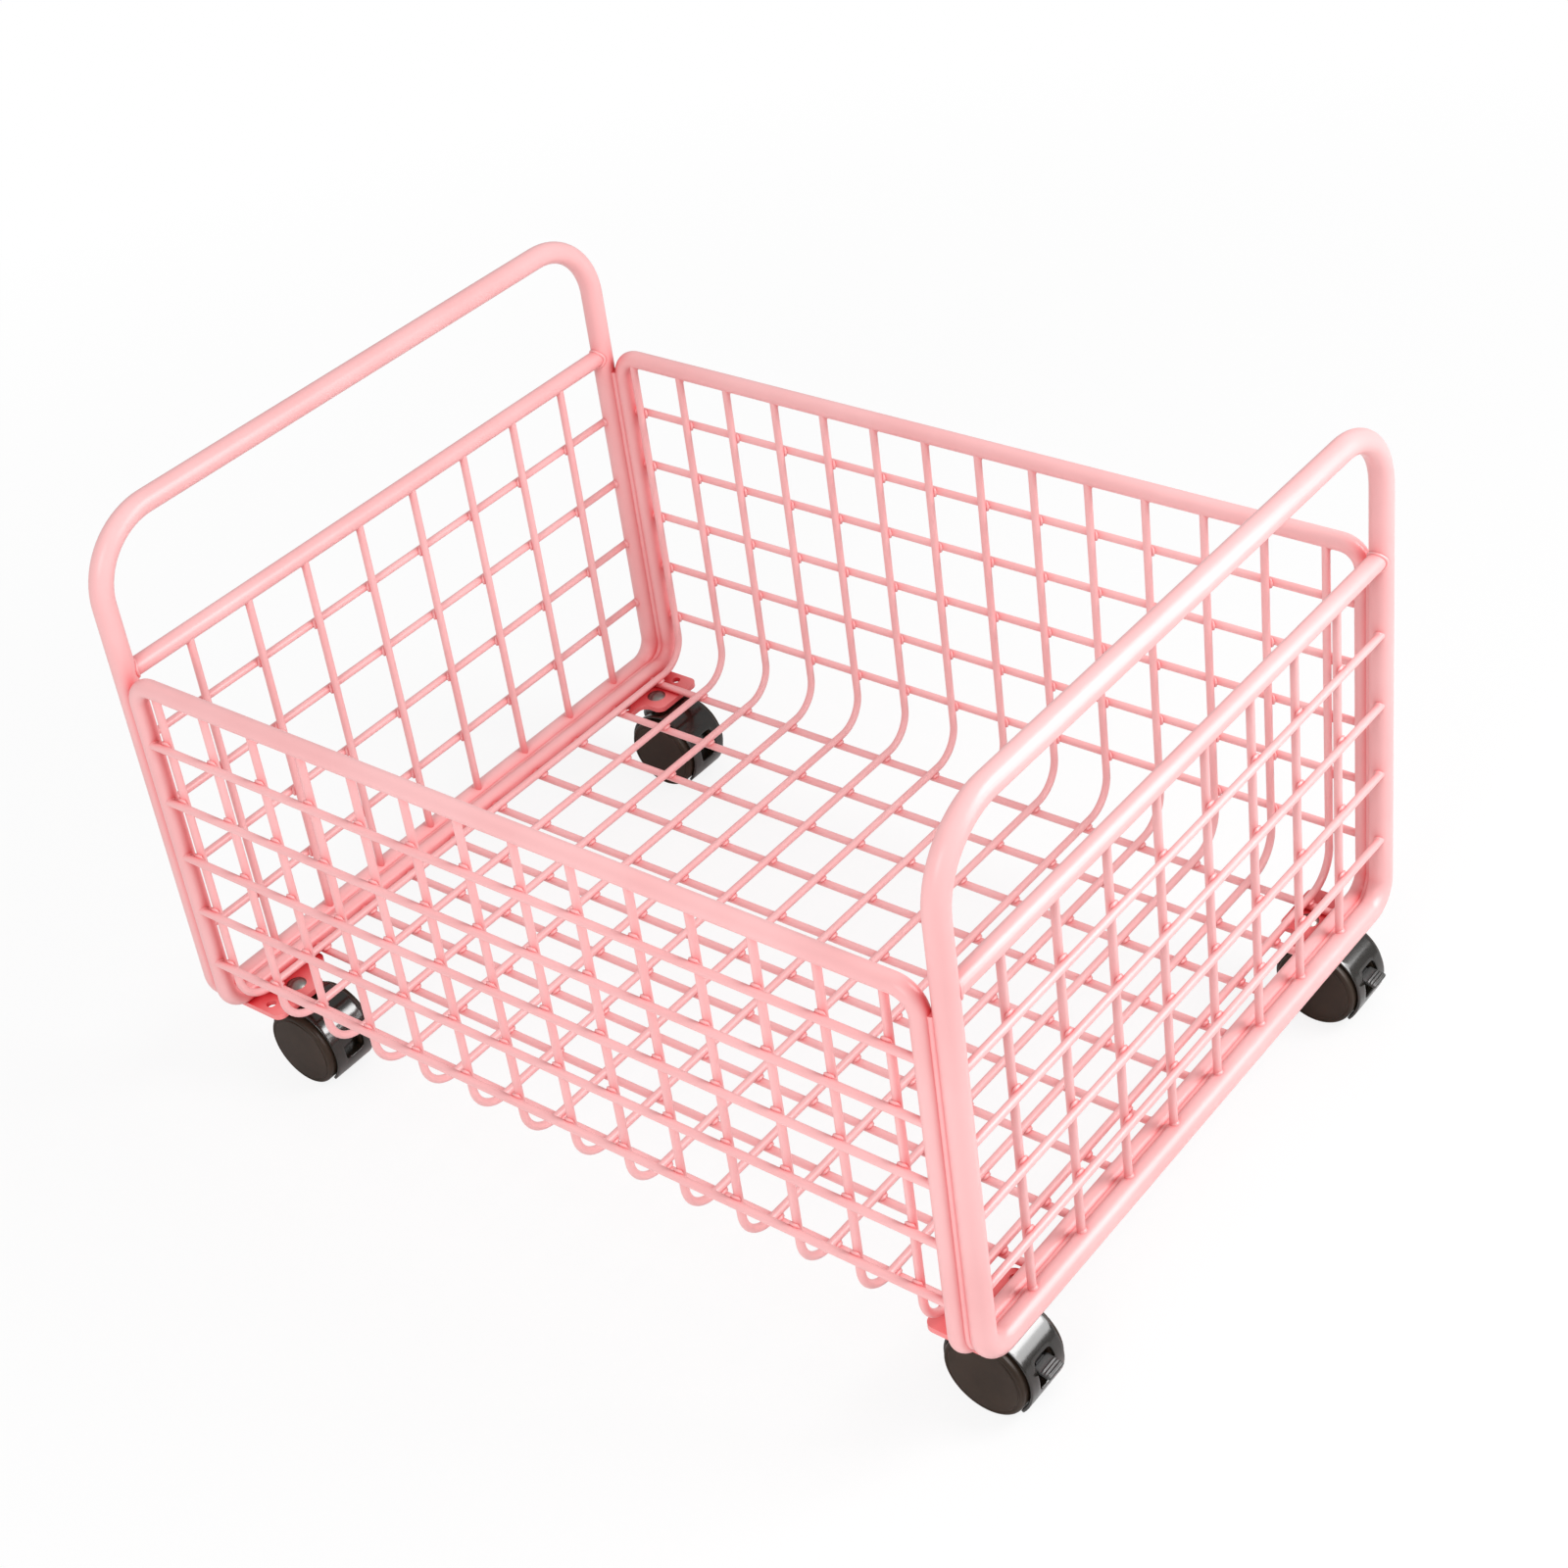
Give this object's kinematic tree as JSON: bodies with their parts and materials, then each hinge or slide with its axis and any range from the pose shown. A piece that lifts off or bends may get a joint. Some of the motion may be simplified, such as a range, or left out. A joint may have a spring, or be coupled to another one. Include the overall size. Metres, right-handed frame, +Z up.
{
  "type": "utility cart",
  "caption": "Low rectangular wire basket that rolls on swivelling twin-wheel casters, with a raised tube handle at each end and brake levers at one end.",
  "frame": {"origin": "on the floor, midway between the two end frames and midway between the posts", "axes": "+X along the basket towards the end with the brakes, +Y from front to back, +Z up"},
  "size_m": [0.422, 0.314, 0.284],
  "materials": {
    "pink_powder_coat": "gloss",
    "wheel_plastic": "matte",
    "hood_plastic": "gloss",
    "lever_plastic": "satin",
    "plated_steel": "satin"
  },
  "bodies": {
    "basket": {"left_end_frame": "pink_powder_coat", "left_cross_bar": "pink_powder_coat", "left_end_uprights": "pink_powder_coat", "left_end_cross_wires": "pink_powder_coat", "right_end_frame": "pink_powder_coat", "right_cross_bar": "pink_powder_coat", "right_end_uprights": "pink_powder_coat", "right_end_cross_wires": "pink_powder_coat", "basket_perimeter_rod": "pink_powder_coat", "basket_u_wires": "pink_powder_coat", "front_long_wires": "pink_powder_coat", "back_long_wires": "pink_powder_coat", "floor_long_wires": "pink_powder_coat", "front_left_corner_plate": "pink_powder_coat", "front_left_caster_stem": "plated_steel", "front_right_corner_plate": "pink_powder_coat", "front_right_caster_stem": "plated_steel", "back_left_corner_plate": "pink_powder_coat", "back_left_caster_stem": "plated_steel", "back_right_corner_plate": "pink_powder_coat", "back_right_caster_stem": "plated_steel"},
    "front_left_caster": {"front_left_caster_hood": "hood_plastic", "front_left_caster_axle": "plated_steel"},
    "front_left_outer_wheel": {"front_left_outer_wheel": "wheel_plastic"},
    "front_left_inner_wheel": {"front_left_inner_wheel": "wheel_plastic"},
    "front_right_caster": {"front_right_caster_hood": "hood_plastic", "front_right_caster_axle": "plated_steel", "front_right_lever_pin": "plated_steel"},
    "front_right_outer_wheel": {"front_right_outer_wheel": "wheel_plastic"},
    "front_right_inner_wheel": {"front_right_inner_wheel": "wheel_plastic"},
    "front_right_brake_lever": {"front_right_brake_lever": "lever_plastic"},
    "back_left_caster": {"back_left_caster_hood": "hood_plastic", "back_left_caster_axle": "plated_steel"},
    "back_left_outer_wheel": {"back_left_outer_wheel": "wheel_plastic"},
    "back_left_inner_wheel": {"back_left_inner_wheel": "wheel_plastic"},
    "back_right_caster": {"back_right_caster_hood": "hood_plastic", "back_right_caster_axle": "plated_steel", "back_right_lever_pin": "plated_steel"},
    "back_right_outer_wheel": {"back_right_outer_wheel": "wheel_plastic"},
    "back_right_inner_wheel": {"back_right_inner_wheel": "wheel_plastic"},
    "back_right_brake_lever": {"back_right_brake_lever": "lever_plastic"}
  },
  "joints": [
    {"name": "front_left_swivel", "type": "hinge", "parent": "basket", "child": "front_left_caster", "pos_m": [-0.181, -0.12555, 0.018], "axis": [0, 0, 1], "continuous": true},
    {"name": "front_left_outer_roll", "type": "hinge", "parent": "front_left_caster", "child": "front_left_outer_wheel", "pos_m": [-0.171, -0.12555, 0.018], "axis": [0, 1, 0], "continuous": true},
    {"name": "front_left_inner_roll", "type": "hinge", "parent": "front_left_caster", "child": "front_left_inner_wheel", "pos_m": [-0.171, -0.12555, 0.018], "axis": [0, 1, 0], "continuous": true},
    {"name": "front_right_swivel", "type": "hinge", "parent": "basket", "child": "front_right_caster", "pos_m": [0.181, -0.12555, 0.018], "axis": [0, 0, 1], "continuous": true},
    {"name": "front_right_outer_roll", "type": "hinge", "parent": "front_right_caster", "child": "front_right_outer_wheel", "pos_m": [0.191, -0.12555, 0.018], "axis": [0, 1, 0], "continuous": true},
    {"name": "front_right_inner_roll", "type": "hinge", "parent": "front_right_caster", "child": "front_right_inner_wheel", "pos_m": [0.191, -0.12555, 0.018], "axis": [0, 1, 0], "continuous": true},
    {"name": "front_right_brake", "type": "hinge", "parent": "front_right_caster", "child": "front_right_brake_lever", "pos_m": [0.20313, -0.12555, 0.02102], "axis": [0, 1, 0], "range_deg": [0, 10]},
    {"name": "back_left_swivel", "type": "hinge", "parent": "basket", "child": "back_left_caster", "pos_m": [-0.181, 0.12555, 0.018], "axis": [0, 0, 1], "continuous": true},
    {"name": "back_left_outer_roll", "type": "hinge", "parent": "back_left_caster", "child": "back_left_outer_wheel", "pos_m": [-0.171, 0.12555, 0.018], "axis": [0, 1, 0], "continuous": true},
    {"name": "back_left_inner_roll", "type": "hinge", "parent": "back_left_caster", "child": "back_left_inner_wheel", "pos_m": [-0.171, 0.12555, 0.018], "axis": [0, 1, 0], "continuous": true},
    {"name": "back_right_swivel", "type": "hinge", "parent": "basket", "child": "back_right_caster", "pos_m": [0.181, 0.12555, 0.018], "axis": [0, 0, 1], "continuous": true},
    {"name": "back_right_outer_roll", "type": "hinge", "parent": "back_right_caster", "child": "back_right_outer_wheel", "pos_m": [0.191, 0.12555, 0.018], "axis": [0, 1, 0], "continuous": true},
    {"name": "back_right_inner_roll", "type": "hinge", "parent": "back_right_caster", "child": "back_right_inner_wheel", "pos_m": [0.191, 0.12555, 0.018], "axis": [0, 1, 0], "continuous": true},
    {"name": "back_right_brake", "type": "hinge", "parent": "back_right_caster", "child": "back_right_brake_lever", "pos_m": [0.20313, 0.12555, 0.02102], "axis": [0, 1, 0], "range_deg": [0, 10]}
  ]
}
